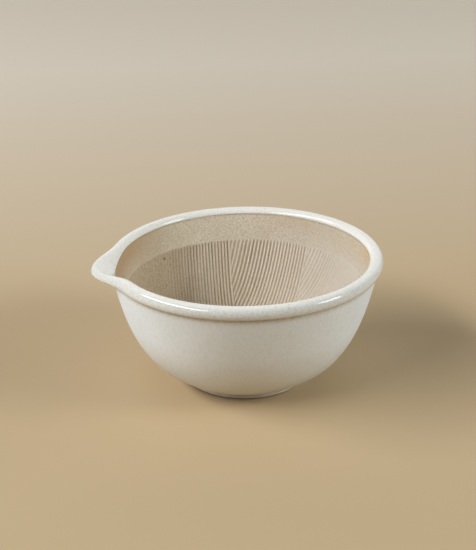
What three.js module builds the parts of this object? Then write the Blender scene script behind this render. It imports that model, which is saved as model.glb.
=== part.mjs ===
import * as THREE from 'three';

// A thrown stoneware grinding bowl with a pulled pouring lip. The inside is combed into fans of sharp
// ridges, a fired glaze covers the rim and the outside, and the turned foot stands on a silicone ring.
// Millimetres and degrees, +Z up, lip towards -X, origin under the middle of the whole outline.

// Overall form
const rimRadius = 91;
const rimHeight = 87.6;
const rimTilt = 1;
const wallThickness = 6.8;
const floorThickness = 5.7;

// Rolled rim: an oval bead that overhangs the wall and ends in a crease below
const beadWidth = 8.9;
const beadHeight = 9.1;
const beadOverhang = 3;
const beadInnerAngle = 166;
const beadUnderAngle = -50;

// Outside wall between the crease and the foot: slope and fullness at its two ends
const footRadius = 41;
const footSlope = 17.8;
const footFullness = 32.9;
const shoulderSlope = 79;
const shoulderFullness = 33.8;

// Inside: a smooth band under the rim, then the combed hollow down to a small smooth eye
const bandHeight = 23.4;
const floorFullness = 36;
const hollowSlope = 72;
const hollowFullness = 55;
const eyeRadius = 8;

// Combed ridges: fans of straight parallel grooves, each fan cut off by the fan that overlaps it
const fanCount = 8;
const fanTurn = -2;
const ridgePitch = 2.35;
const ridgeDepth = 0.9;
const ridgeLedge = 0.5;
const grooveRunout = 1.4;
const cornerLand = 0.7;

// Pouring lip, pulled out of the soft rim. Its nose dips a little, and the channel behind it dips deeper.
const lipReach = 10.2;
const lipHalfAngle = 22;
const lipRoot = 10;
const noseDrop = 1.1;
const channelReach = 3.2;
const channelDrop = 5.7;
const channelRoot = 22;

// Glaze
const glazeThickness = 0.5;
const glazeStop = 0.8;

// Turned foot and the silicone ring that is bonded under it
const recessDepth = 2;
const recessSlope = 1.5;
const footMargin = 1;
const ringHeight = 3.3;
const ringWidth = 8.5;
const ringInset = 0.5;
const ringEdge = 0.7;
const ribWidth = 3;
const ribHeight = 1.5;
const seatClearance = 0.2;

// Fineness of the facets
const lipSteps = 9;
const lipFacetMargin = 5;
const rimSteps = 22;
const beadSteps = 8;
const shoulderSteps = 3;
const bellySteps = 7;
const bandSteps = 5;
const ridgeStep = 14;
const grooveSamples = 48;
const ringSteps = 44;
const halvings = 40;

const { degToRad: radians, lerp, mapLinear, smoothstep } = THREE.MathUtils;
const polar = (length, degrees) => new THREE.Vector2(Math.cos(radians(degrees)), Math.sin(radians(degrees)))
  .multiplyScalar(length);
const spread = (from, to, steps) => Array.from({ length: steps + 1 }, (_, i) => lerp(from, to, i / steps));

// The bowl's own axis stands off the origin, because the lip lengthens the outline on one side.
const axisX = lipReach / 2;
const ringRadius = footRadius - ringInset;
const ringBore = ringRadius - ringWidth;
const ribRadius = ringRadius - ringWidth / 2;
const floorHeight = ringHeight + recessDepth + floorThickness;
const fanAngle = 2 * Math.PI / fanCount;

// Profile curves, as radius and height
const bead = new THREE.EllipseCurve(
  rimRadius - beadWidth / 2, rimHeight - beadHeight / 2, beadWidth / 2, beadHeight / 2,
  radians(beadInnerAngle), radians(beadUnderAngle), true,
);
const crease = new THREE.Vector2(rimRadius - beadOverhang, bead.getPoint(1).y);
const footEdge = new THREE.Vector2(footRadius, ringHeight + glazeStop);
const wall = new THREE.CubicBezierCurve(
  crease, crease.clone().sub(polar(shoulderFullness, shoulderSlope)),
  footEdge.clone().add(polar(footFullness, footSlope)), footEdge,
);

// Finds the place along a curve where a coordinate that rises or falls steadily has a value.
function placeWhere(curve, axis, value) {
  const rising = curve.getPoint(1)[axis] > curve.getPoint(0)[axis];
  let [low, high] = [0, 1];
  for (let i = 0; i < halvings; i++) {
    const middle = (low + high) / 2;
    const past = curve.getPoint(middle)[axis] > value;
    if (past === rising) high = middle;
    else low = middle;
  }
  return (low + high) / 2;
}

const combTopHeight = rimHeight - bandHeight;
const combTopRadius = wall.getPoint(placeWhere(wall, 'y', combTopHeight)).x - wallThickness;
const combTop = new THREE.Vector2(combTopRadius, combTopHeight);
const hollow = new THREE.CubicBezierCurve(
  new THREE.Vector2(0, floorHeight), new THREE.Vector2(floorFullness, floorHeight),
  combTop.clone().sub(polar(hollowFullness, hollowSlope)), combTop,
);

// A profile point. Through says how far it lies through the rim: 0 on the inside face, 1 on the outside.
const profilePoint = (radius, height, through) => ({ radius, height, through });

// Glazed outline from the glaze's inner edge over the rim and down to the foot
function glazedOutline() {
  const inner = bead.getPoint(0).x;
  const overRim = bead.getPoints(beadSteps).map((p, i, all) => {
    const past = i > 0 && p.y < all[i - 1].y;
    return profilePoint(p.x, p.y, past ? 1 : (p.x - inner) / (rimRadius - inner));
  });
  const root = placeWhere(wall, 'y', rimHeight - lipRoot);
  const downWall = [...spread(0, root, shoulderSteps), ...spread(root, 1, bellySteps).slice(1)];
  return [...overRim, ...downWall.map((t) => wall.getPoint(t)).map((p) => profilePoint(p.x, p.y, 1))];
}

// Clay surface under the glaze: the glazed outline, set in by the glaze's thickness
function clayOutline(outline) {
  return outline.map((p, i) => {
    const before = outline[Math.max(i - 1, 0)];
    const after = outline[Math.min(i + 1, outline.length - 1)];
    const along = new THREE.Vector2(after.radius - before.radius, after.height - before.height).normalize();
    return profilePoint(p.radius + glazeThickness * along.y, p.height - glazeThickness * along.x, p.through);
  });
}

// Places a profile point at an angle around the axis, with the pull of the lip and the tilt of the rim.
function settle({ radius, height, through }, angle) {
  const fromLip = Math.abs(angle - Math.PI) / radians(lipHalfAngle);
  const swell = fromLip < 1 ? Math.cos(fromLip * Math.PI / 2) ** 2 : 0;
  const root = rimHeight - lerp(channelRoot, lipRoot, through);
  const pull = swell * smoothstep(height, root, rimHeight - beadHeight / 2);
  const reach = pull * lerp(lipReach, channelReach, (1 - through) ** 3);
  const drop = pull * lerp(channelDrop, noseDrop, through);
  const lean = Math.tan(radians(rimTilt)) * Math.max(height - ringHeight, 0) / (rimHeight - ringHeight);
  const [x, y] = [Math.cos(angle), Math.sin(angle)].map((part) => part * (radius + reach));
  return new THREE.Vector3(axisX + x, y, height - drop + lean * radius * Math.cos(angle));
}

// Angles around the axis for the rings of the wall, closer together at the lip
function ringAngles() {
  const lipSpan = radians(lipHalfAngle + lipFacetMargin);
  const half = [...spread(0, lipSpan, lipSteps), ...spread(lipSpan, Math.PI, rimSteps).slice(1)];
  const other = half.slice(1, -1).map((a) => -a);
  return [...half, ...other].map((a) => (Math.PI + a) % (2 * Math.PI)).sort((a, b) => a - b);
}

// Collects points and triangles. A line is a list of points, each with its station along the line.
class Surface {
  points = [];
  triangles = [];

  add(position, station) {
    this.points.push(position.x, position.y, position.z);
    return { index: this.points.length / 3 - 1, station };
  }

  ring(profile, angles) {
    return angles.map((angle) => this.add(settle(profile, angle), angle));
  }

  // Fills the strip between two lines that run the same way, the first on the right. A turned strip has
  // the same triangles, facing the other way.
  fill(right, left, turned = false) {
    let [i, j] = [0, 0];
    while (i < right.length - 1 || j < left.length - 1) {
      const nextRight = right[i + 1]?.station ?? Infinity;
      const nextLeft = left[j + 1]?.station ?? Infinity;
      const corner = nextRight < nextLeft ? right[i + 1] : left[j + 1];
      const [second, third] = turned ? [left[j], corner] : [corner, left[j]];
      this.triangles.push(right[i].index, second.index, third.index);
      if (nextRight < nextLeft) i += 1;
      else j += 1;
    }
  }

  // Fills the belt between two closed rings, the first nearer the start of the profile.
  belt(first, second, turned = false) {
    const close = (ring) => [...ring, { index: ring[0].index, station: ring[0].station + 2 * Math.PI }];
    this.fill(close(second), close(first), turned);
  }

  // Closes a ring with a fan of triangles; the ring runs round the way that its outside is seen.
  cap(ring, middle) {
    ring.forEach((p, i) => this.triangles.push(p.index, ring[(i + 1) % ring.length].index, middle.index));
  }

  geometry() {
    const geometry = new THREE.BufferGeometry();
    geometry.setAttribute('position', new THREE.Float32BufferAttribute(this.points, 3));
    geometry.setIndex(this.triangles);
    geometry.computeVertexNormals();
    return geometry;
  }
}

// A point of the combed hollow, seen from above at a distance along a fan's edge and across from it
function combedPoint(along, across, fanStart, depth) {
  const radius = Math.hypot(along, across);
  const place = placeWhere(hollow, 'x', radius);
  const height = hollow.getPoint(place).y;
  const slope = hollow.getTangent(place);
  const sunk = profilePoint(radius + depth * slope.y, height - depth * slope.x, 0);
  return settle(sunk, fanStart + Math.atan2(across, along));
}

// Stations along a straight groove line between two ends, evenly spaced over the curved wall
function grooveStations(across, start, end, isGroove) {
  const fine = spread(start, end, grooveSamples);
  const points = fine.map((along) => combedPoint(along, across, 0, 0));
  const lengths = [0];
  points.slice(1).forEach((p, i) => lengths.push(lengths[i] + p.distanceTo(points[i])));
  const whole = lengths.at(-1);
  const steps = Math.max(2, Math.round(whole / ridgeStep));
  const runout = Math.min(grooveRunout, whole / (2 * steps));
  const ends = isGroove ? [runout, whole - runout] : [];
  const wanted = [...spread(0, whole, steps), ...ends].sort((a, b) => a - b);
  return wanted.map((length) => {
    const k = Math.max(1, lengths.findIndex((l) => l >= length - 1e-9));
    return mapLinear(length, lengths[k - 1], lengths[k], fine[k - 1], fine[k]);
  });
}

// The combed hollow. Grooves run parallel to their fan's right edge and stop at the next fan's edge.
function combedHollow(surface) {
  const half = ridgePitch / 2;
  const lineCount = Math.floor((combTopRadius * Math.sin(fanAngle) - cornerLand) / half);
  const across = spread(0, lineCount * half, lineCount);
  const meets = across.map((w) => w / Math.sin(fanAngle));
  const edgeStations = [eyeRadius, ...meets.filter((s) => s > eyeRadius), combTopRadius];
  const starts = spread(0, fanAngle * (fanCount - 1), fanCount - 1).map((a) => a + radians(fanTurn));
  const edges = starts.map((start) => edgeStations.map((s) => surface.add(combedPoint(s, 0, start, 0), s)));

  const eyeRing = [];
  const topRing = [];
  starts.forEach((start, fan) => {
    const nextEdge = edges[(fan + 1) % fanCount];
    const endsOnEdge = meets.filter((s) => s <= eyeRadius).length;
    let right = edges[fan];
    eyeRing.push(right[0]);
    topRing.push({ index: right.at(-1).index, station: start });
    across.slice(1).forEach((w, i) => {
      const line = i + 1;
      const fromEye = line < endsOnEdge;
      const first = fromEye ? Math.sqrt(eyeRadius ** 2 - w ** 2) : w / Math.tan(fanAngle);
      const last = Math.sqrt(combTopRadius ** 2 - w ** 2);
      const isGroove = line % 2 === 1;
      const stations = grooveStations(w, first, last, isGroove);
      const left = stations.map((along, k) => {
        const isEnd = k === 0 || k === stations.length - 1;
        if (k === 0 && !fromEye) return { index: nextEdge[line - endsOnEdge + 1].index, station: along };
        return surface.add(combedPoint(along, w, start, isGroove && !isEnd ? ridgeDepth : 0), along);
      });
      const corner = { index: nextEdge[0].index, station: left[0].station - 1 };
      surface.fill(right, line === endsOnEdge ? [corner, ...left] : left);
      if (fromEye) eyeRing.push(left[0]);
      topRing.push({ index: left.at(-1).index, station: start + Math.atan2(w, last) });
      right = left;
    });
    surface.fill(right, [{ index: nextEdge.at(-1).index, station: Infinity }]);
  });
  surface.cap(eyeRing, surface.add(combedPoint(0, 0, 0, 0)));
  return topRing;
}

// Clay body: combed hollow, smooth band, the surface under the glaze, then the turned foot
function stonewareBowl() {
  const surface = new Surface();
  const angles = ringAngles();
  const topRing = combedHollow(surface);
  const clay = clayOutline(glazedOutline());
  const bandFoot = combTopRadius + ridgeLedge;
  const band = spread(0, 1, bandSteps).slice(0, -1).map((t) => profilePoint(
    lerp(bandFoot, clay[0].radius, t),
    lerp(combTopHeight + ridgeLedge, clay[0].height, t),
    0,
  ));
  const groove = ribWidth / 2 + seatClearance;
  const grooveTop = ringHeight + ribHeight + seatClearance;
  const footInside = ringBore - footMargin;
  const foot = [
    [ringRadius, ringHeight],
    [ribRadius + groove, ringHeight],
    [ribRadius + groove, grooveTop],
    [ribRadius - groove, grooveTop],
    [ribRadius - groove, ringHeight],
    [footInside, ringHeight],
    [footInside - recessSlope, ringHeight + recessDepth],
  ].map(([radius, height]) => profilePoint(radius, height, 1));

  const rings = [...band, ...clay, ...foot].map((profile) => surface.ring(profile, angles));
  surface.belt(topRing, rings[0]);
  rings.slice(1).forEach((ring, i) => surface.belt(rings[i], ring));
  const underside = surface.add(settle(profilePoint(0, ringHeight + recessDepth, 1), 0));
  surface.cap(rings.at(-1).reverse(), underside);
  return surface.geometry();
}

// Glaze: the glazed outline outside, the clay surface inside, closed at both edges
function glazeCoat() {
  const surface = new Surface();
  const angles = ringAngles();
  const outline = glazedOutline();
  const outside = outline.map((profile) => surface.ring(profile, angles));
  const inside = clayOutline(outline).map((profile) => surface.ring(profile, angles));
  outside.slice(1).forEach((ring, i) => surface.belt(outside[i], ring));
  inside.slice(1).forEach((ring, i) => surface.belt(inside[i], ring, true));
  surface.belt(inside[0], outside[0]);
  surface.belt(outside.at(-1), inside.at(-1));
  return surface.geometry();
}

// Silicone ring: a flat tread with eased edges, and a rib on top that keys into the foot
function siliconeFootRing() {
  const section = [
    [ringBore + ringEdge, 0],
    [ringRadius - ringEdge, 0],
    [ringRadius, ringEdge],
    [ringRadius, ringHeight],
    [ribRadius + ribWidth / 2, ringHeight],
    [ribRadius + ribWidth / 2, ringHeight + ribHeight],
    [ribRadius - ribWidth / 2, ringHeight + ribHeight],
    [ribRadius - ribWidth / 2, ringHeight],
    [ringBore, ringHeight],
    [ringBore, ringEdge],
    [ringBore + ringEdge, 0],
  ].map(([radius, height]) => new THREE.Vector2(radius, height));
  return new THREE.LatheGeometry(section, ringSteps).rotateX(Math.PI / 2).translate(axisX, 0, 0);
}

function piece(name, geometry, color, roughness) {
  const mesh = new THREE.Mesh(geometry, new THREE.MeshStandardMaterial({ color, roughness, metalness: 0 }));
  mesh.name = name;
  return mesh;
}

const grindingBowl = new THREE.Group();
grindingBowl.add(
  piece('stoneware_bowl', stonewareBowl(), '#bfae97', 0.85),
  piece('glaze_coat', glazeCoat(), '#dedcd2', 0.25),
  piece('silicone_foot_ring', siliconeFootRing(), '#b9b3a6', 0.45),
);

export default grindingBowl;
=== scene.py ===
from math import cos, radians, sin, tan

import bpy
import numpy as np
from mathutils import Matrix, Vector


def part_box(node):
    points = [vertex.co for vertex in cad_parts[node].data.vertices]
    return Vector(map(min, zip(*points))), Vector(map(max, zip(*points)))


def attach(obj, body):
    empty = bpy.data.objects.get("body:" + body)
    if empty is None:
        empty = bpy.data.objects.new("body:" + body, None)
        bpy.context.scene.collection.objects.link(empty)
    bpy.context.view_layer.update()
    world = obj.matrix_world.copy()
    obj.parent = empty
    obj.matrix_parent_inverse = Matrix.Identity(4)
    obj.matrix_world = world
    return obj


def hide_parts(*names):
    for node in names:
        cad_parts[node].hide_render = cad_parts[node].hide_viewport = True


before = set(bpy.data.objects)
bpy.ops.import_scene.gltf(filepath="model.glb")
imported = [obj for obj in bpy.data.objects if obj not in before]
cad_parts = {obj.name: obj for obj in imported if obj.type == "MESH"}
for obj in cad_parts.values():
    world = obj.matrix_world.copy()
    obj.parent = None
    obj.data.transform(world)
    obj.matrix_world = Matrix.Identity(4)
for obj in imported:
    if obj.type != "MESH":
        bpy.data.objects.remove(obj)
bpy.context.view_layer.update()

# A thrown stoneware grinding bowl. Millimetres and degrees; the meshes are made in metres.
MM = 0.001
RING_LOW, RING_HIGH = (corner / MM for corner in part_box("silicone_foot_ring"))
AXIS_X = (RING_LOW.x + RING_HIGH.x) / 2

# Overall form
RIM_RADIUS = 91
RIM_HEIGHT = 87.6
RIM_TILT = 1
WALL_THICKNESS = 6.8
FLOOR_THICKNESS = 5.7

# Rolled rim
BEAD_WIDTH = 8.9
BEAD_HEIGHT = 9.1
BEAD_OVERHANG = 3
BEAD_INNER_ANGLE = 172
BEAD_UNDER_ANGLE = -43
BEAD_OUTER_ANGLE = 20
CREASE_FILLET = 3.4
CREASE_TIGHTNESS = 0.7

# Outside wall
FOOT_RADIUS = 41
FOOT_SLOPE = 17.8
FOOT_FULLNESS = 32.9
SHOULDER_SLOPE = 79
SHOULDER_FULLNESS = 33.8

# Inside: smooth band, ledge, combed hollow, smooth eye
BAND_HEIGHT = 21.7
FLOOR_FULLNESS = 36
HOLLOW_SLOPE = 72
HOLLOW_FULLNESS = 55
COMB_LEDGE = 0.2
LEDGE_HEIGHT = 0.9
EYE_RADIUS = 8

# Combed fans, counter-clockwise from +X: angle of each fan's right edge at the top, how far its strokes
# lean from there, their spacing, their depth, how dark the painted shade in their grooves is, how much weaker
# the first and the last strokes are, and how worn the ledge above them is
FAN_EDGES = (-1, 44.8, 88.1, 142, 184, 227, 270, 314)
FAN_LEANS = (10, 4.7, 1, 3, 5, 2, 6, 4)
FAN_PITCHES = (2.48, 2.38, 2.3, 2.33, 2.4, 2.32, 2.37, 2.35)
FAN_DEPTHS = (0.5, 1.2, 1.25, 0.5, 1, 1.1, 1, 0.9)
FAN_GROOVE_SHADES = (0.1, 0.29, 0.35, 0.1, 0.3, 0.3, 0.3, 0.3)
FAN_STARTS = (0.72, 0.4, 0, 0.58, 0.1, 0.2, 0.1, 0.3)
FAN_FADES = (0.1, 0.1, 0.78, 0.3, 0.2, 0.3, 0.2, 0.3)
LEDGE_WEAR = (1, 0, 0, 1, 0, 0, 0, 0)
FAN_COUNT = len(FAN_EDGES)

# Where strokes fade: across the fan from its right edge, before the next fan, at the top and round the eye
FIRST_STROKES = (20, 44)
LAST_STROKES = (27, 50)
EDGE_RUNOUT = (0.1, 1.1)
GROOVE_RUNOUT = 1.5
EYE_RUNOUT = 7

# Radius within which the fans' edges run straight to the middle, and the burr along them: its height, its
# width, and the radii between which it grows
EDGE_STRAIGHT = 35
EDGE_BURR = 0.16
BURR_WIDTH = 0.5
BURR_RADII = (20, 45)

# Wear of the ledge: the shares between which it evens out from fan to fan, and how far inward it reaches
WEAR_SPREAD = (0.1, 0.7)
WEAR_REACH = 3

# The hand's unsteadiness: slow sway and quick quiver of the strokes, and depth that differs from stroke to
# stroke and along each. Lengths are millimetres to a radian of the wave, and a step is how many radians it
# turns from one fan or stroke to the next.
SWAY = 0.07
SWAY_LENGTH = 9
SWAY_STEP = 1.7
QUIVER = 0.04
QUIVER_LENGTH = 3.7
QUIVER_BREADTH = 5
QUIVER_STEP = 2.9
STROKE_SPREAD = 0.08
STROKE_STEP = 2.4
PRESSURE = 0.06
PRESSURE_LENGTH = 6
PRESSURE_STEP = 1.3

# Pouring lip
LIP_REACH = 10.2
LIP_HALF_ANGLE = 22
LIP_ROOT = 10
NOSE_DROP = 1.1
CHANNEL_REACH = 3.2
CHANNEL_DROP = 5.7
CHANNEL_ROOT = 22

# Glaze, and the zones of its look: round the crease, on the bead, on the crown and at the inner edge
GLAZE_THICKNESS = 0.5
GLAZE_STOP = 0.8
GLAZE_TAPER = 1.1
CREASE_ABOVE = 1.4
CREASE_BELOW = 2.6
BEAD_FADE = 1.5
CROWN_ANGLES = (75, 25)
EDGE_FADE = 1.6

# Distance below the glaze's inner edge that the comb and the hidden clay count as
FAR_BELOW = 99.0

# Silicone ring
RING_HEIGHT = 3.3
RING_WIDTH = 9.8
RING_OUTSET = 0.8
RING_EDGE = 1.1
RIB_INSET = 4.25
RIB_WIDTH = 3
RIB_HEIGHT = 1.5
SHARP_ANGLE = 40

# Turned foot, with eased corners given as width and height. The recess's unturned middle and where the tool's
# marks fade are shares of its radius, and the marks' rate is in radians to a millimetre.
FOOT_INSET = 0.5
FOOT_MARGIN = 1
SEAT_CLEARANCE = 0.2
SEAT_EASE = (0.5, 0.2)
RECESS_DEPTH = 2
RECESS_SLOPE = 1.5
RECESS_EASE = (0.5, 0.3)
RECESS_MIDDLE = 0.02
TURNING_DEPTH = 0.09
TURNING_RATE = 2.6
TURNING_FADE = (0.05, 0.2)

RING_RADIUS = FOOT_RADIUS + RING_OUTSET
RING_BORE = RING_RADIUS - RING_WIDTH
RIB_RADIUS = RING_BORE + RIB_INSET
FLOOR_HEIGHT = RING_HEIGHT + RECESS_DEPTH + FLOOR_THICKNESS
BEAD_MIDDLE = (RIM_RADIUS - BEAD_WIDTH / 2, RIM_HEIGHT - BEAD_HEIGHT / 2)

# Fineness of the meshes
FAN_STEPS = 160
COMB_ROWS = 120
LEDGE_ROWS = 6
BAND_ROWS = 40
HIDDEN_ROWS = 60
RECESS_ROWS = 60
GLAZE_STEPS = 480
BEAD_STEPS = 64
FILLET_STEPS = 10
HOLLOW_STEPS = 400
WALL_STEPS = 240
WALL_STRIDE = 3
RING_STEPS = 256
RING_EDGE_STEPS = 7
BEAD_ANGLES = np.linspace(BEAD_INNER_ANGLE, BEAD_UNDER_ANGLE, BEAD_STEPS)


def smooth(value, low, high):
    """Smooth step from 0 at low to 1 at high."""
    t = np.clip((value - low) / (high - low), 0, 1)
    return t * t * (3 - 2 * t)


def mix(first, second, share):
    return first + (second - first) * share


def polar(length, angle):
    return length * np.array([cos(radians(angle)), sin(radians(angle))])


def bezier(start, leave, arrive, end, steps):
    t = np.linspace(0, 1, steps + 1)[:, None]
    outer = start * (1 - t) ** 3 + end * t ** 3
    return outer + leave * 3 * t * (1 - t) ** 2 + arrive * 3 * t * t * (1 - t)


def lengths_along(line):
    return np.concatenate([[0], np.cumsum(np.linalg.norm(np.diff(line, axis=0), axis=1))])


def resample(line, steps):
    """The line at even steps along its length."""
    lengths = lengths_along(line)
    wanted = np.linspace(0, lengths[-1], steps + 1)
    return np.stack([np.interp(wanted, lengths, column) for column in line.T], 1)


def spread(count, wanted):
    """Places of about as many points as wanted, spread from end to end of a line of count points."""
    return np.unique(np.linspace(0, count - 1, wanted).astype(int))


def tangents(line):
    along = np.gradient(line, axis=0)
    return along / np.linalg.norm(along, axis=1)[:, None]


def bead_point(angle):
    turn = np.radians(angle)
    across = BEAD_MIDDLE[0] + BEAD_WIDTH / 2 * np.cos(turn)
    up = BEAD_MIDDLE[1] + BEAD_HEIGHT / 2 * np.sin(turn)
    return np.stack([across, up], -1)


def wall_line():
    """Outside wall from the crease to the foot."""
    crease = np.array([RIM_RADIUS - BEAD_OVERHANG, bead_point(BEAD_UNDER_ANGLE)[1]])
    foot = np.array([FOOT_RADIUS, RING_HEIGHT + GLAZE_STOP])
    leave = crease - polar(SHOULDER_FULLNESS, SHOULDER_SLOPE)
    return bezier(crease, leave, foot + polar(FOOT_FULLNESS, FOOT_SLOPE), foot, WALL_STEPS)


def hollow_line():
    """Crest line of the combed hollow, from the middle of the floor to the top of the comb."""
    wall = wall_line()
    top_height = RIM_HEIGHT - BAND_HEIGHT
    top_radius = np.interp(-top_height, -wall[:, 1], wall[:, 0]) - WALL_THICKNESS
    top = np.array([top_radius, top_height])
    middle = np.array([0, FLOOR_HEIGHT])
    arrive = top - polar(HOLLOW_FULLNESS, HOLLOW_SLOPE)
    return bezier(middle, middle + (FLOOR_FULLNESS, 0), arrive, top, HOLLOW_STEPS)


HOLLOW = hollow_line()
COMB_TOP = HOLLOW[-1]


def glazed_line():
    """Glazed outline from its inner edge over the bead, through the crease and down to the foot.
    Gives the points, and how far through the rim each lies: 0 on the inside face, 1 on the outside."""
    bead = bead_point(BEAD_ANGLES)
    wall = wall_line()
    below = wall[lengths_along(wall) > CREASE_FILLET]
    leave = mix(bead[-1], wall[0], CREASE_TIGHTNESS)
    fillet = bezier(bead[-1], leave, wall[0], below[0], FILLET_STEPS)
    line = np.concatenate([bead, fillet[1:-1], below[::WALL_STRIDE]])
    through = np.ones(len(line))
    through[:len(bead)] = smooth(-BEAD_ANGLES, -BEAD_INNER_ANGLE, -BEAD_OUTER_ANGLE)
    return line, through


def under_glaze():
    """Clay surface under the glaze, with the place through the rim of each point."""
    line, through = glazed_line()
    along = tangents(line)
    inward = np.stack([along[:, 1], -along[:, 0]], 1)
    return line + GLAZE_THICKNESS * inward, through


def settle(radius, height, through, angle):
    """Places profile points around the axis, with the pull of the lip and the tilt of the rim."""
    from_lip = np.abs(np.mod(angle, 2 * np.pi) - np.pi) / radians(LIP_HALF_ANGLE)
    swell = np.cos(np.minimum(from_lip, 1) * np.pi / 2) ** 2
    root = RIM_HEIGHT - mix(CHANNEL_ROOT, LIP_ROOT, through)
    pull = swell * smooth(height, root, BEAD_MIDDLE[1])
    reach = pull * mix(LIP_REACH, CHANNEL_REACH, (1 - through) ** 3)
    drop = pull * mix(CHANNEL_DROP, NOSE_DROP, through)
    lean = tan(radians(RIM_TILT)) * np.maximum(height - RING_HEIGHT, 0) / (RIM_HEIGHT - RING_HEIGHT)
    out = radius + reach
    return np.stack([
        AXIS_X + out * np.cos(angle),
        out * np.sin(angle),
        height - drop + lean * radius * np.cos(angle),
    ], -1)


def grid_mesh(name, rows, closed, **values):
    """A mesh of rings of points, each joined to the next. If it is closed, the last ring is joined to the
    first; otherwise both end rings are filled in to a middle point. Values are numbers kept at the points,
    one row of numbers for each ring."""
    count, around = rows.shape[:2]
    index = np.arange(count * around).reshape(count, around)
    if closed:
        index = np.concatenate([index, index[:1]])
    beside = np.roll(index, -1, axis=1)
    faces = np.stack([index[:-1], beside[:-1], beside[1:], index[1:]], -1).reshape(-1, 4).tolist()
    points = [rows.reshape(-1, 3)]
    ends = [] if closed else [0, count - 1]
    for number, end in enumerate(ends):
        middle = count * around + number
        points.append(rows[end].mean(axis=0)[None, :])
        pairs = zip(index[end].tolist(), beside[end].tolist())
        faces += [[middle, a, b] if end else [middle, b, a] for a, b in pairs]
    mesh = bpy.data.meshes.new(name)
    mesh.from_pydata((np.concatenate(points) * MM).tolist(), [], faces)
    for title, numbers in values.items():
        numbers = np.broadcast_to(numbers, (count, around))
        middles = [numbers[end].mean() for end in ends]
        layer = mesh.attributes.new(title, "FLOAT", "POINT")
        layer.data.foreach_set("value", np.concatenate([numbers.ravel(), middles]).astype(np.float32))
    mesh.shade_smooth()
    mesh.update()
    piece = bpy.data.objects.new(name, mesh)
    bpy.context.scene.collection.objects.link(piece)
    return piece


def fan_direction(fan):
    return radians(FAN_EDGES[fan % FAN_COUNT] + FAN_LEANS[fan % FAN_COUNT])


def edge_offset(fan):
    """How far a fan's right edge passes from the axis."""
    return -COMB_TOP[0] * sin(radians(FAN_LEANS[fan % FAN_COUNT]))


def fan_edge(fan, radius):
    """Angle of a fan's right edge at a radius. The edge is the line of the fan's first stroke."""
    turns = 2 * np.pi * (fan // FAN_COUNT)
    bend = np.arcsin(edge_offset(fan) / np.maximum(radius, EDGE_STRAIGHT))
    return turns + fan_direction(fan) + bend


def across_fan(fan, radius, angle):
    """Distance to the left of a fan's right edge, and distance along it."""
    turned = angle - fan_direction(fan)
    return radius * np.sin(turned) - edge_offset(fan), radius * np.cos(turned)


def comb_angles(radius):
    """Angles of the comb's points at each radius, so that the fans' edges run along lines of the mesh."""
    share = np.arange(FAN_STEPS) / FAN_STEPS
    fans = []
    for fan in range(FAN_COUNT):
        edge, following = fan_edge(fan, radius), fan_edge(fan + 1, radius)
        fans.append(edge[:, None] + (following - edge)[:, None] * share)
    return np.concatenate(fans, axis=1)


def ledge_wear(angle):
    """How far the ledge above the comb is worn away at an angle, evened out between the fans."""
    following = (*FAN_EDGES[1:], FAN_EDGES[0] + 360)
    middles = [(edge + end) / 2 for edge, end in zip(FAN_EDGES, following)]
    wear = np.interp(np.degrees(angle), middles, LEDGE_WEAR, period=360)
    return COMB_LEDGE * smooth(wear, *WEAR_SPREAD)


def comb_depth(radius, angle):
    """How deep the comb has cut at each point, and how much painted shade its grooves get there."""
    far = radius[:, None]
    at_top = smooth(COMB_TOP[0] - far, 0, GROOVE_RUNOUT * cos(radians(HOLLOW_SLOPE)))
    by_eye = smooth(far, EYE_RADIUS, EYE_RADIUS + EYE_RUNOUT)
    by_ledge = smooth(far, COMB_TOP[0] - WEAR_REACH, COMB_TOP[0])
    depths, groove_shades = [], []
    for fan in range(FAN_COUNT):
        part = angle[:, fan * FAN_STEPS:(fan + 1) * FAN_STEPS]
        across, along = across_fan(fan, far, part)
        left = -across_fan(fan + 1, far, part)[0]
        sway = SWAY * np.sin(along / SWAY_LENGTH + SWAY_STEP * fan)
        quiver = QUIVER * np.sin(along / QUIVER_LENGTH + across / QUIVER_BREADTH + QUIVER_STEP * fan)
        phase = (across + sway + quiver) / FAN_PITCHES[fan]
        stroke = np.round(phase - 0.5)
        groove = (1 - np.cos(2 * np.pi * phase)) / 2
        groove *= 1 - FAN_STARTS[fan] * (1 - smooth(across, *FIRST_STROKES))
        groove *= 1 - FAN_FADES[fan] * smooth(across, *LAST_STROKES)
        groove *= smooth(left, *EDGE_RUNOUT) * by_eye * at_top
        uneven = 1 + STROKE_SPREAD * np.sin(STROKE_STEP * stroke + fan)
        uneven += PRESSURE * np.sin(along / PRESSURE_LENGTH + PRESSURE_STEP * stroke)
        burr = (1 - FAN_STARTS[fan]) * np.exp(-(across / BURR_WIDTH) ** 2)
        burr += (1 - FAN_FADES[fan]) * np.exp(-(left / BURR_WIDTH) ** 2)
        depth = FAN_DEPTHS[fan] * groove * uneven - EDGE_BURR * burr * smooth(far, *BURR_RADII)
        depths.append(depth + ledge_wear(part) * by_ledge)
        # Painted shade in the grooves, a share of each fan's groove
        groove_shades.append(FAN_GROOVE_SHADES[fan] * groove)
    return np.concatenate(depths, axis=1), np.concatenate(groove_shades, axis=1)


def combed_hollow():
    """Rings of the combed hollow, and the painted shade of its grooves at each point."""
    line = resample(HOLLOW, COMB_ROWS)[1:]
    along = tangents(line)
    angle = comb_angles(line[:, 0])
    depth, groove = comb_depth(line[:, 0], angle)
    radius = line[:, 0, None] + depth * along[:, 1, None]
    height = line[:, 1, None] - depth * along[:, 0, None]
    return settle(radius, height, np.zeros((len(line), 1)), angle), groove


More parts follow.
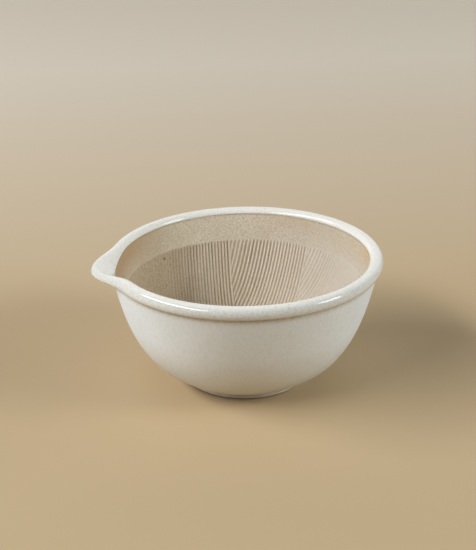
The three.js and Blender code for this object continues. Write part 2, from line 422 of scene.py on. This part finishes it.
def foot_line():
    """Seat on the ring with the groove for its rib, and the recess with its turning marks."""
    groove_side = RIB_WIDTH / 2 + SEAT_CLEARANCE
    groove_top = RING_HEIGHT + RIB_HEIGHT + SEAT_CLEARANCE
    seat_inside = RING_BORE - FOOT_MARGIN
    recess_side = seat_inside - RECESS_SLOPE
    recess_top = RING_HEIGHT + RECESS_DEPTH
    seat = np.array([
        [FOOT_RADIUS - FOOT_INSET, RING_HEIGHT],
        [RIB_RADIUS + groove_side, RING_HEIGHT],
        [RIB_RADIUS + groove_side, groove_top],
        [RIB_RADIUS - groove_side, groove_top],
        [RIB_RADIUS - groove_side, RING_HEIGHT],
        [seat_inside + SEAT_EASE[0], RING_HEIGHT],
        [seat_inside, RING_HEIGHT + SEAT_EASE[1]],
        [recess_side, recess_top - RECESS_EASE[1]],
        [recess_side - RECESS_EASE[0], recess_top],
    ])
    reach = np.linspace(1, RECESS_MIDDLE, RECESS_ROWS)[1:]
    marks = TURNING_DEPTH * np.sin(reach * recess_side * TURNING_RATE) * smooth(reach, *TURNING_FADE)
    recess = np.stack([reach * seat[-1, 0], recess_top + marks], 1)
    return np.concatenate([seat, recess])


def stoneware_bowl():
    """Clay body: combed hollow, ledge, band, the surface under the glaze, and the turned foot."""
    comb, groove = combed_hollow()
    angles = comb_angles(COMB_TOP[:1])[0]
    clay, through = under_glaze()
    rise = np.linspace(0, 1, LEDGE_ROWS)[1:]
    step = smooth(rise, 0, 1)
    ledge = COMB_TOP + np.stack([COMB_LEDGE * step, LEDGE_HEIGHT * rise], 1)
    band = mix(ledge[-1], clay[0], np.linspace(0, 1, BAND_ROWS)[1:-1, None])
    hidden = spread(len(clay), HIDDEN_ROWS)
    foot = foot_line()
    line = np.concatenate([ledge, band, clay[hidden], foot])
    bare = len(ledge) + len(band)
    ways = np.concatenate([np.zeros(bare), through[hidden], np.ones(len(foot))])
    worn = np.zeros(len(line))
    worn[:len(ledge)] = 1 - step
    radius = line[:, 0, None] + worn[:, None] * ledge_wear(angles)
    rows = np.concatenate([comb, settle(radius, line[:, 1, None], ways[:, None], angles)])

    first = len(comb)
    below_glaze = np.full(len(rows), FAR_BELOW)
    below_glaze[first:first + bare] = np.linalg.norm(line[:bare] - clay[0], axis=1)
    # Where the painted highlight along the ledge goes
    comb_edge = np.zeros(len(rows))
    comb_edge[first - 1:first + len(ledge)] = 1
    groove = np.concatenate([groove, np.zeros((len(line), len(angles)))])
    return grid_mesh(
        "stoneware_body", rows, closed=False,
        groove=groove, below_glaze=below_glaze[:, None], comb_edge=comb_edge[:, None],
    )


def glaze_coat():
    """Glaze: outline outside, clay surface inside, thinning to a rounded edge at both ends."""
    line, through = glazed_line()
    clay = under_glaze()[0]
    lengths = lengths_along(line)
    from_end = np.minimum(lengths, lengths[-1] - lengths)
    body = np.sqrt(1 - (1 - np.clip(from_end / GLAZE_TAPER, 0, 1)) ** 2)[:, None]
    inner = 1 + spread(len(clay) - 2, HIDDEN_ROWS)[::-1]
    profile = np.concatenate([mix(clay, line, body), clay[inner]])
    ways = np.concatenate([through, through[inner]])
    angles = np.linspace(0, 2 * np.pi, GLAZE_STEPS, endpoint=False)
    rows = settle(profile[:, 0, None], profile[:, 1, None], ways[:, None], angles)

    crease_at = lengths[BEAD_STEPS + FILLET_STEPS // 2]
    crease_reach = np.where(lengths > crease_at, CREASE_BELOW, CREASE_ABOVE)
    crown_ends = np.interp(CROWN_ANGLES, BEAD_ANGLES[::-1], lengths[:BEAD_STEPS][::-1])
    zones = {
        "crease": np.exp(-((lengths - crease_at) / crease_reach) ** 2),
        "bead": 1 - smooth(lengths, crease_at - BEAD_FADE, crease_at + BEAD_FADE),
        "crown": 1 - smooth(lengths, *crown_ends),
        "edge": 1 - smooth(lengths, 0, EDGE_FADE),
    }
    hidden = np.zeros(len(inner))
    zones = {name: np.concatenate([zone, hidden])[:, None] for name, zone in zones.items()}
    return grid_mesh("glaze_surface", rows, closed=True, **zones)


def silicone_ring():
    """Foot ring with rounded tread edges and the rib that keys into the foot."""
    turn = np.radians(np.linspace(0, 90, RING_EDGE_STEPS))
    inset = RING_EDGE - RING_EDGE * np.sin(turn)
    up = RING_EDGE - RING_EDGE * np.cos(turn)
    outer = np.stack([RING_RADIUS - inset, up], 1)
    inner = np.stack([RING_BORE + inset, up], 1)
    top = np.array([
        [RING_RADIUS, RING_HEIGHT],
        [RIB_RADIUS + RIB_WIDTH / 2, RING_HEIGHT],
        [RIB_RADIUS + RIB_WIDTH / 2, RING_HEIGHT + RIB_HEIGHT],
        [RIB_RADIUS - RIB_WIDTH / 2, RING_HEIGHT + RIB_HEIGHT],
        [RIB_RADIUS - RIB_WIDTH / 2, RING_HEIGHT],
        [RING_BORE, RING_HEIGHT],
    ])
    section = np.concatenate([outer, top, inner[::-1]])[::-1]
    radius, height = section[:, 0, None], section[:, 1, None]
    angles = np.linspace(0, 2 * np.pi, RING_STEPS, endpoint=False)
    places = np.broadcast_arrays(AXIS_X + radius * np.cos(angles), radius * np.sin(angles), height)
    piece = grid_mesh("silicone_ring", np.stack(places, -1), closed=True)
    piece.data.set_sharp_from_angle(angle=radians(SHARP_ANGLE))
    return piece


def srgb(red, green, blue):
    """A colour as it looks on screen, 0 to 255, as the shader's numbers."""
    levels = np.array([red, green, blue]) / 255
    linear = np.where(levels <= 0.04045, levels / 12.92, ((levels + 0.055) / 1.055) ** 2.4)
    return (*linear.tolist(), 1)


class Paint:
    """A material, short names for the nodes that it is made of, and the colour that its tints build up.
    Colours are given as they look on screen."""

    SPOT_CORE = 0.6
    PICK_STEP = 0.02

    def __init__(self, name, color):
        self.material = bpy.data.materials.new(name)
        self.material.use_nodes = True
        self.tree = self.material.node_tree
        self.shader = self.tree.nodes["Principled BSDF"]
        self.place = self.node("ShaderNodeTexCoord").outputs["Object"]
        self.color = srgb(*color)

    def node(self, kind, inputs=None, **settings):
        node = self.tree.nodes.new(kind)
        for key, value in settings.items():
            setattr(node, key, value)
        for key, value in (inputs or {}).items():
            self.put(node.inputs[key], value)
        return node

    def put(self, socket, value):
        if isinstance(value, bpy.types.NodeSocket):
            self.tree.links.new(value, socket)
        else:
            socket.default_value = value

    def value(self, name):
        """A number kept at the mesh's points."""
        return self.node("ShaderNodeAttribute", attribute_name=name).outputs["Fac"]

    def range(self, value, low, high, start=0, end=1):
        """Goes from the start to the end as a value goes from low to high."""
        inputs = {"Value": value, "From Min": low, "From Max": high, "To Min": start, "To Max": end}
        return self.node("ShaderNodeMapRange", inputs).outputs["Result"]

    def slope(self, axis, low_mm, high_mm, start=0, end=1):
        """Goes from the start to the end between two places along an axis."""
        along = self.node("ShaderNodeSeparateXYZ", {"Vector": self.place}).outputs[axis]
        return self.range(along, low_mm * MM, high_mm * MM, start, end)

    def near(self, point_mm, outer_mm, inner_mm):
        """1 within the inner distance of a point, fading to 0 at the outer."""
        inputs = {0: self.place, 1: Vector(point_mm) * MM}
        distance = self.node("ShaderNodeVectorMath", inputs, operation="DISTANCE").outputs["Value"]
        return self.range(distance, outer_mm * MM, inner_mm * MM)

    def noise(self, size_mm, detail=2, roughness=0.5, scale=None):
        place = self.place
        if scale:
            place = self.node("ShaderNodeMapping", {"Vector": place, "Scale": scale}).outputs["Vector"]
        inputs = {"Vector": place, "Scale": 1 / (size_mm * MM), "Detail": detail, "Roughness": roughness}
        return self.node("ShaderNodeTexNoise", inputs).outputs["Fac"]

    def spots(self, spacing_mm, size, share):
        """Round specks: one in each cell of a pattern, kept in a share of the cells."""
        cells = self.node("ShaderNodeTexVoronoi", {"Vector": self.place, "Scale": 1 / (spacing_mm * MM)})
        dot = self.range(cells.outputs["Distance"], size, self.SPOT_CORE * size)
        pick = self.node("ShaderNodeSeparateColor", {"Color": cells.outputs["Color"]}).outputs["Red"]
        return self.times(dot, self.range(pick, 1 - share, 1 - share + self.PICK_STEP))

    def math(self, operation, *values):
        return self.node("ShaderNodeMath", dict(enumerate(values)), operation=operation).outputs[0]

    def times(self, first, *others):
        for other in others:
            first = self.math("MULTIPLY", first, other)
        return first

    def blend(self, kind, share, over):
        node = self.node("ShaderNodeMix", data_type="RGBA", blend_type=kind)
        for socket, value in ((0, share), (6, self.color), (7, over)):
            self.put(node.inputs[socket], value)
        self.color = node.outputs[2]

    def tint(self, color, *shares):
        """Lays a colour over what is there, by the product of the shares."""
        self.blend("MIX", self.times(*shares), srgb(*color))

    def shade(self, grey, share):
        """Lightens and darkens what is there by a grey, which changes nothing at its middle."""
        self.blend("SOFT_LIGHT", share, grey)

    def bump(self, height, distance_mm, under=None):
        inputs = {"Height": height, "Strength": 1, "Distance": distance_mm * MM}
        if under:
            inputs["Normal"] = under
        return self.node("ShaderNodeBump", inputs).outputs["Normal"]

    def finish(self, **values):
        """Sets the shader's colour and other inputs, and gives the material."""
        self.put(self.shader.inputs["Base Color"], self.color)
        for key, value in values.items():
            self.put(self.shader.inputs[key.replace("_", " ")], value)
        return self.material


# Levels of a soft noise between which one shade gives way to another
CLOUDS = (0.35, 0.65)

# Clay colours: the body with clouds, sand and crumbs, the fire's flush by the lip, painted shade on the side
# by the lip and on the side opposite it, the flush of the fire under the rim, painted light on a place at the
# back of the comb, painted shade in the grooves, a painted highlight on the ledge, the dark line under the
# glaze, partly painted shade, and specks
CLAY = (233, 220, 199)
CLAY_CLOUD = (238, 226, 207)
CLAY_SAND = (180, 156, 123)
CLAY_CRUMB = (238, 229, 214)
LIP_FLUSH = (184, 143, 106)
LIP_SIDE_SHADE = (156, 134, 94)
LIP_HOLLOW_SHADE = (148, 114, 62)
FAR_SIDE_SHADE = (196, 183, 168)
FAR_BAND_SHADE = (184, 166, 140)
RIM_FLUSH = (202, 166, 122)
PALE_BACK_LIGHT = (252, 237, 208)
GROOVE_PAINTED_SHADE = (138, 108, 73)
LEDGE_HIGHLIGHT = (240, 231, 215)
GLAZE_LINE = (92, 73, 53)
FINE_SPECK = (150, 127, 100)
LARGE_SPECK = (92, 70, 50)
IRON = (92, 71, 49)

# Where they lie: millimetres below the glaze's inner edge, along X or Y, or round a point
BAND_BELOW = (24, 6)
COMB_BELOW = (24, 30)
FLUSH_BELOW = (16, 2)
LINE_BELOW = (0.9, 0.4)
LIP_FLUSH_X = (-36, -68)
LIP_SIDE_SHADE_X = (-16, -46)
LIP_HOLLOW_SHADE_X = (-10, -34)
FAR_SIDE_SHADE_X = (20, 75)
RIM_FLUSH_X = (40, 80)
ROUGH_X = (8, 70)
LINE_Y = (56, 72)
PALE_BACK_LIGHT_AT = (-2, 68, 40)
PALE_BACK_LIGHT_RADII = (30, 8)
IRON_AT = (-41.7, 62.1, 60.9)
IRON_RADII = (1.6, 0.7)

# How strong they are; two numbers go with the two ends of a place above
SAND_SHARES = (0.74, 0.4)
CRUMB_SHARE = 0.4
LIP_FLUSH_SHARE = 0.8
LIP_SIDE_SHADE_SHARE = 0.34
LIP_HOLLOW_SHADE_SHARE = 0.4
FAR_SIDE_SHADE_SHARE = 0.9
FAR_BAND_SHADE_SHARE = 0.5
RIM_FLUSH_SHARES = (0.13, 0.6)
PALE_BACK_LIGHT_SHARE = 0.2
ROUGH_SHARES = (0.33, 0.19)
LIP_ROUGH_SHARE = 0.33
LEDGE_HIGHLIGHT_SHARE = 0.1
LINE_SHARES = (0.85, 0.45)

# Levels of the grain at which sand and crumbs show and a rough surface goes from dark to light
SAND_GRAIN = (0.385, 0.7)
CRUMB_GRAIN = (0.46, 0.3)
ROUGH_GRAIN = (0.7, 0.3)
FLUSH_CLOUDS = (0.42, 0.66)


def stoneware():
    """Unglazed sandy clay with iron specks, flushed orange by the fire round the lip and under the rim.
    Painted shade darkens the side by the lip, the far side and the grooves; painted light brightens the back
    of the comb, and a painted highlight runs along the ledge.
    """
    paint = Paint("stoneware", CLAY)
    below = paint.value("below_glaze")
    grain = paint.noise(size_mm=0.98, detail=3, roughness=0.7)
    band = paint.range(below, *BAND_BELOW)
    paint.tint(CLAY_CLOUD, paint.range(paint.noise(size_mm=22, detail=3), *CLOUDS))
    paint.tint(CLAY_SAND, paint.range(below, *COMB_BELOW, *SAND_SHARES), paint.range(grain, *SAND_GRAIN))
    paint.tint(CLAY_CRUMB, paint.range(grain, *CRUMB_GRAIN), CRUMB_SHARE)
    paint.tint(LIP_FLUSH, band, paint.slope("X", *LIP_FLUSH_X), LIP_FLUSH_SHARE)
    # Painted shade: the inside darker on the side opposite the lip, and darker and tan on the band there
    far_side_shade = paint.slope("X", *FAR_SIDE_SHADE_X)
    paint.tint(FAR_SIDE_SHADE, far_side_shade, FAR_SIDE_SHADE_SHARE)
    paint.tint(FAR_BAND_SHADE, far_side_shade, band, FAR_BAND_SHADE_SHARE)
    flames = paint.range(paint.noise(size_mm=30, detail=1), *FLUSH_CLOUDS)
    by_side = paint.slope("X", *RIM_FLUSH_X, *RIM_FLUSH_SHARES)
    paint.tint(RIM_FLUSH, paint.range(below, *FLUSH_BELOW), flames, by_side)
    # Painted shade: the inside darker on the side by the lip
    paint.tint(LIP_SIDE_SHADE, paint.slope("X", *LIP_SIDE_SHADE_X), LIP_SIDE_SHADE_SHARE)
    # Painted shade: the comb hollow darker on the side by the lip
    lip_hollow_shade = paint.times(paint.range(below, *COMB_BELOW), paint.slope("X", *LIP_HOLLOW_SHADE_X))
    paint.tint(LIP_HOLLOW_SHADE, lip_hollow_shade, LIP_HOLLOW_SHADE_SHARE)
    # Painted light: a pale patch brightening the back of the comb
    paint.tint(PALE_BACK_LIGHT, paint.near(PALE_BACK_LIGHT_AT, *PALE_BACK_LIGHT_RADII), PALE_BACK_LIGHT_SHARE)
    far_rough = paint.times(paint.slope("X", *ROUGH_X), paint.range(below, *COMB_BELOW, *ROUGH_SHARES))
    rough = paint.math("MAXIMUM", far_rough, paint.times(lip_hollow_shade, LIP_ROUGH_SHARE))
    paint.shade(paint.range(grain, *ROUGH_GRAIN), rough)
    # Painted shade darkening the grooves
    paint.tint(GROOVE_PAINTED_SHADE, paint.value("groove"))
    # Painted highlight: a pale line along the ledge at the top of the comb
    paint.tint(LEDGE_HIGHLIGHT, paint.value("comb_edge"), LEDGE_HIGHLIGHT_SHARE)
    # A dark line just under the glaze's inner edge: a dark joint, and partly painted shade under the glaze's
    # step
    paint.tint(GLAZE_LINE, paint.range(below, *LINE_BELOW), paint.slope("Y", *LINE_Y, *LINE_SHARES))
    paint.tint(FINE_SPECK, paint.spots(spacing_mm=2.6, size=0.13, share=0.25))
    paint.tint(LARGE_SPECK, paint.spots(spacing_mm=11, size=0.06, share=0.3))
    paint.tint(IRON, paint.near(IRON_AT, *IRON_RADII))
    dents = paint.bump(paint.noise(size_mm=2.4), distance_mm=0.2)
    normal = paint.bump(grain, distance_mm=0.16, under=dents)
    return paint.finish(Roughness=0.86, Normal=normal, Specular_IOR_Level=0.25)


# Glaze colours: the wall with clouds, painted shade with warm bounce light towards its foot and painted shade
# on its front, the bead and painted light on its crown, streaks, flecks, blue-grey flecks and specks, a brown
# line in the crease that is partly painted shade, and where the glaze runs thin at the crease and the edge
GLAZE = (228, 233, 237)
GLAZE_CLOUD = (233, 238, 243)
GLAZE_LOW_SHADE = (187, 180, 161)
GLAZE_FRONT_SHADE = (186, 172, 144)
GLAZE_BEAD = (221, 218, 211)
GLAZE_CROWN_LIGHT = (244, 238, 229)
GLAZE_STREAK = (196, 192, 182)
GLAZE_FLECK = (186, 182, 172)
GLAZE_BLUE = (178, 184, 186)
GLAZE_SPECK = (172, 166, 155)
GLAZE_CREASE = (156, 132, 100)
GLAZE_EDGE = (196, 184, 162)

# Where they lie along Z and Y, how strong they are, and the levels of noise at which they show
GLAZE_LOW_SHADE_Z = (48, 8)
GLAZE_FRONT_SHADE_Y = (-20, -76)
GLAZE_LOW_SHADE_SHARE = 0.72
GLAZE_FRONT_SHADE_SHARE = 0.24
CROWN_LIGHT_SHARE = 0.9
STREAK_SHARE = 0.16
FLECK_SHARE = 0.2
BLUE_SHARE = 0.5
CROWN_BLUE = 0.22
CREASE_SHARES = (0.5, 0.8)
EDGE_SHARE = 0.45
STREAK_NOISE = (0.5, 0.75)
FLECK_NOISE = (0.45, 0.65)
BLUE_NOISE = (0.45, 0.62)

# Roughness of the wall and the bead, and what the crown adds
WALL_ROUGHNESS = 0.4
BEAD_ROUGHNESS = 0.07
CROWN_ROUGHNESS = 0.1


def glaze():
    """Off-white glaze: glossy and flecked blue-grey on the bead, satin on the wall, warm where it runs thin
    at the crease and at its edge. The crease's brown line is partly painted shade; painted shade with warm
    bounce light darkens the wall towards the foot and on the front, and painted light makes the crown paler."""
    paint = Paint("glaze", GLAZE)
    bead = paint.value("bead")
    crown = paint.value("crown")
    paint.tint(GLAZE_CLOUD, paint.range(paint.noise(size_mm=30), *CLOUDS))
    # Painted shade and warm bounce light: the wall darker and warmer towards the foot
    paint.tint(GLAZE_LOW_SHADE, paint.slope("Z", *GLAZE_LOW_SHADE_Z), GLAZE_LOW_SHADE_SHARE)
    # Painted shade: the wall darker and warmer on the front
    paint.tint(GLAZE_FRONT_SHADE, paint.slope("Y", *GLAZE_FRONT_SHADE_Y), GLAZE_FRONT_SHADE_SHARE)
    paint.tint(GLAZE_BEAD, bead)
    # Painted light: the crown of the bead paler
    paint.tint(GLAZE_CROWN_LIGHT, crown, CROWN_LIGHT_SHARE)
    streaks = paint.noise(size_mm=2.2, scale=(1, 1, 0.25))
    paint.tint(GLAZE_STREAK, paint.range(streaks, *STREAK_NOISE), STREAK_SHARE)
    flecks = paint.noise(size_mm=1.4, detail=3, roughness=0.65)
    paint.tint(GLAZE_FLECK, paint.range(flecks, *FLECK_NOISE), FLECK_SHARE)
    blue = paint.range(paint.noise(size_mm=1.1, detail=3, roughness=0.65), *BLUE_NOISE)
    paint.tint(GLAZE_BLUE, bead, blue, BLUE_SHARE, paint.range(crown, 0, 1, 1, CROWN_BLUE))
    paint.tint(GLAZE_SPECK, paint.spots(spacing_mm=3.2, size=0.12, share=0.2))
    # A brown line in the crease under the bead: partly the glaze running thin there, partly painted shade
    ragged = paint.range(paint.noise(size_mm=2, detail=3), *CLOUDS, *CREASE_SHARES)
    paint.tint(GLAZE_CREASE, paint.value("crease"), ragged)
    paint.tint(GLAZE_EDGE, paint.value("edge"), EDGE_SHARE)
    ripple = paint.bump(paint.noise(size_mm=1.6), distance_mm=0.002)
    normal = paint.bump(paint.noise(size_mm=9, detail=1), distance_mm=0.024, under=ripple)
    gloss = paint.range(bead, 0, 1, WALL_ROUGHNESS, BEAD_ROUGHNESS)
    roughness = paint.math("MULTIPLY_ADD", crown, CROWN_ROUGHNESS, gloss)
    return paint.finish(Roughness=roughness, Normal=normal, IOR=1.51)


# Silicone: colours with haze and the painted contact shade along the bottom edge, the height that shade
# reaches, and the haze's levels and roughness
SILICONE = (204, 190, 172)
SILICONE_HAZE = (214, 202, 186)
SILICONE_CONTACT_SHADE = (66, 48, 33)
CONTACT_SHADE_Z = (1.1, 0.5)
CONTACT_SHADE_SHARE = 0.9
HAZE_LEVELS = (0.3, 0.7)
HAZE_ROUGHNESS = (0.32, 0.44)


def silicone():
    """Pale grey-brown rubber with a satin sheen, and painted contact shade darkening its bottom edge."""
    paint = Paint("silicone", SILICONE)
    haze = paint.noise(size_mm=5)
    paint.tint(SILICONE_HAZE, paint.range(haze, *CLOUDS))
    # Painted shade: a dark contact shadow along the ring's bottom edge
    paint.tint(SILICONE_CONTACT_SHADE, paint.slope("Z", *CONTACT_SHADE_Z), CONTACT_SHADE_SHARE)
    normal = paint.bump(paint.noise(size_mm=0.8, detail=1), distance_mm=0.02)
    return paint.finish(Roughness=paint.range(haze, *HAZE_LEVELS, *HAZE_ROUGHNESS), Normal=normal)


# View of the camera: the turn and pitch of the line of sight, the distance along it, and where the middle of
# the foot comes in the picture. The picture and the focal length are in pixels.
PICTURE = (476, 550)
FOCUS = 1200
VIEW_TURN = 10
VIEW_PITCH = 23.03
VIEW_DISTANCE = 825.6
FOOT_PIXEL = (244.4, 370)
SENSOR = 36


def from_view(x, y, z):
    """A point in metres, given to the right of the axis as the camera sees it, away from it, and up."""
    return Matrix.Rotation(-radians(VIEW_TURN), 4, "Z") @ Vector((x, y, z)) + Vector((AXIS_X * MM, 0, 0))


def add_camera():
    pitch = radians(VIEW_PITCH)
    right = Vector((1, 0, 0))
    ahead = Vector((0, cos(pitch), -sin(pitch)))
    up = right.cross(ahead)
    aside = (FOOT_PIXEL[0] - PICTURE[0] / 2) / FOCUS
    below = (FOOT_PIXEL[1] - PICTURE[1] / 2) / FOCUS
    to_foot = (ahead + right * aside - up * below) * VIEW_DISTANCE * MM
    data = bpy.data.cameras.new("camera")
    data.sensor_fit = "VERTICAL"
    data.sensor_height = SENSOR
    data.lens = FOCUS / PICTURE[1] * SENSOR
    camera = bpy.data.objects.new("camera", data)
    turn = Matrix.Rotation(-radians(VIEW_TURN), 3, "Z")
    axes = turn @ Matrix((right, up, -ahead)).transposed()
    camera.matrix_world = Matrix.LocRotScale(from_view(*-to_foot), axes.to_quaternion(), None)
    bpy.context.scene.collection.objects.link(camera)
    bpy.context.scene.camera = camera


# Lamps: place as the camera sees it and size, in metres, watts, colour, and whether the gloss mirrors them
LAMPS = {
    "key": ((-2.11, -0.8, 2), (3, 0.58), 83, (0.95, 0.98, 1), True),
    "back": ((0.2, 2.6, 1.25), (5.5, 2.3), 20, (1, 0.99, 0.97), True),
    "low_left": ((-2.8, -0.6, 0.8), (2, 1.2), 29, (0.85, 0.95, 1), False),
    "low_right": ((2.85, -0.2, 0.9), (3, 1.7), 42, (0.85, 0.95, 1), False),
    "side": ((2.5, -0.74, 1.4), (0.95, 1), 29, (0.94, 1, 1), True),
}


def add_lamps():
    """Flat lamps, aimed at the middle of the bowl."""
    for name, (place, size, watts, color, mirrored) in LAMPS.items():
        data = bpy.data.lights.new(name, "AREA")
        data.shape = "RECTANGLE"
        data.size, data.size_y = size
        data.energy = watts
        data.color = color
        lamp = bpy.data.objects.new(name, data)
        lamp.visible_glossy = mirrored
        lamp.location = from_view(*place)
        aim = from_view(0, 0, RIM_HEIGHT * MM / 2) - lamp.location
        lamp.rotation_euler = aim.to_track_quat("-Z", "Y").to_euler()
        bpy.context.scene.collection.objects.link(lamp)


# Floor: colour near the bowl and behind it, where it changes along Y, and where it fades out round the bowl
FLOOR = (195, 169, 132)
FLOOR_BEHIND = (223, 209, 191)
FLOOR_BEHIND_Y = (100, 900)
FLOOR_FADE = (2400, 1450)
FLOOR_RADIUS = 9000
FLOOR_SIDES = 96


def add_floor():
    """Pale floor that gives way to the world's own colour far from the bowl."""
    paint = Paint("floor", FLOOR)
    paint.tint(FLOOR_BEHIND, paint.slope("Y", *FLOOR_BEHIND_Y))
    material = paint.finish(Roughness=0.9)
    clear = paint.node("ShaderNodeBsdfTransparent").outputs["BSDF"]
    inputs = {0: paint.near((0, 0, 0), *FLOOR_FADE), 1: clear, 2: paint.shader.outputs["BSDF"]}
    fading = paint.node("ShaderNodeMixShader", inputs).outputs["Shader"]
    paint.put(paint.tree.nodes["Material Output"].inputs["Surface"], fading)
    bpy.ops.mesh.primitive_circle_add(vertices=FLOOR_SIDES, radius=FLOOR_RADIUS * MM, fill_type="NGON")
    floor = bpy.context.object
    floor.name = "floor"
    floor.data.materials.append(material)


# World: its colour, the light that it gives, and how bright it is where it is seen or mirrored
SKY = (250, 247, 241)
SKY_LIGHT = 0.03
SKY_SEEN = 0.62


def add_world():
    world = bpy.data.worlds.new("world")
    bpy.context.scene.world = world
    world.use_nodes = True
    nodes, links = world.node_tree.nodes, world.node_tree.links
    ray = nodes.new("ShaderNodeLightPath")
    seen = nodes.new("ShaderNodeMath")
    seen.operation = "MAXIMUM"
    links.new(ray.outputs["Is Camera Ray"], seen.inputs[0])
    links.new(ray.outputs["Is Glossy Ray"], seen.inputs[1])
    level = nodes.new("ShaderNodeMapRange")
    links.new(seen.outputs[0], level.inputs["Value"])
    level.inputs["To Min"].default_value = SKY_LIGHT
    level.inputs["To Max"].default_value = SKY_SEEN
    sky = nodes["Background"]
    sky.inputs["Color"].default_value = srgb(*SKY)
    links.new(level.outputs["Result"], sky.inputs["Strength"])


add_camera()
add_floor()
add_world()
add_lamps()
bpy.context.scene.view_settings.view_transform = "Standard"

for make, node, finish, slot in (
    (stoneware_bowl, "stoneware_bowl", stoneware, "stoneware"),
    (glaze_coat, "glaze_coat", glaze, "glaze"),
    (silicone_ring, "silicone_foot_ring", silicone, "silicone"),
):
    piece = make()
    piece.data.materials.append(finish())
    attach(piece, "root")
    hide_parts(node)
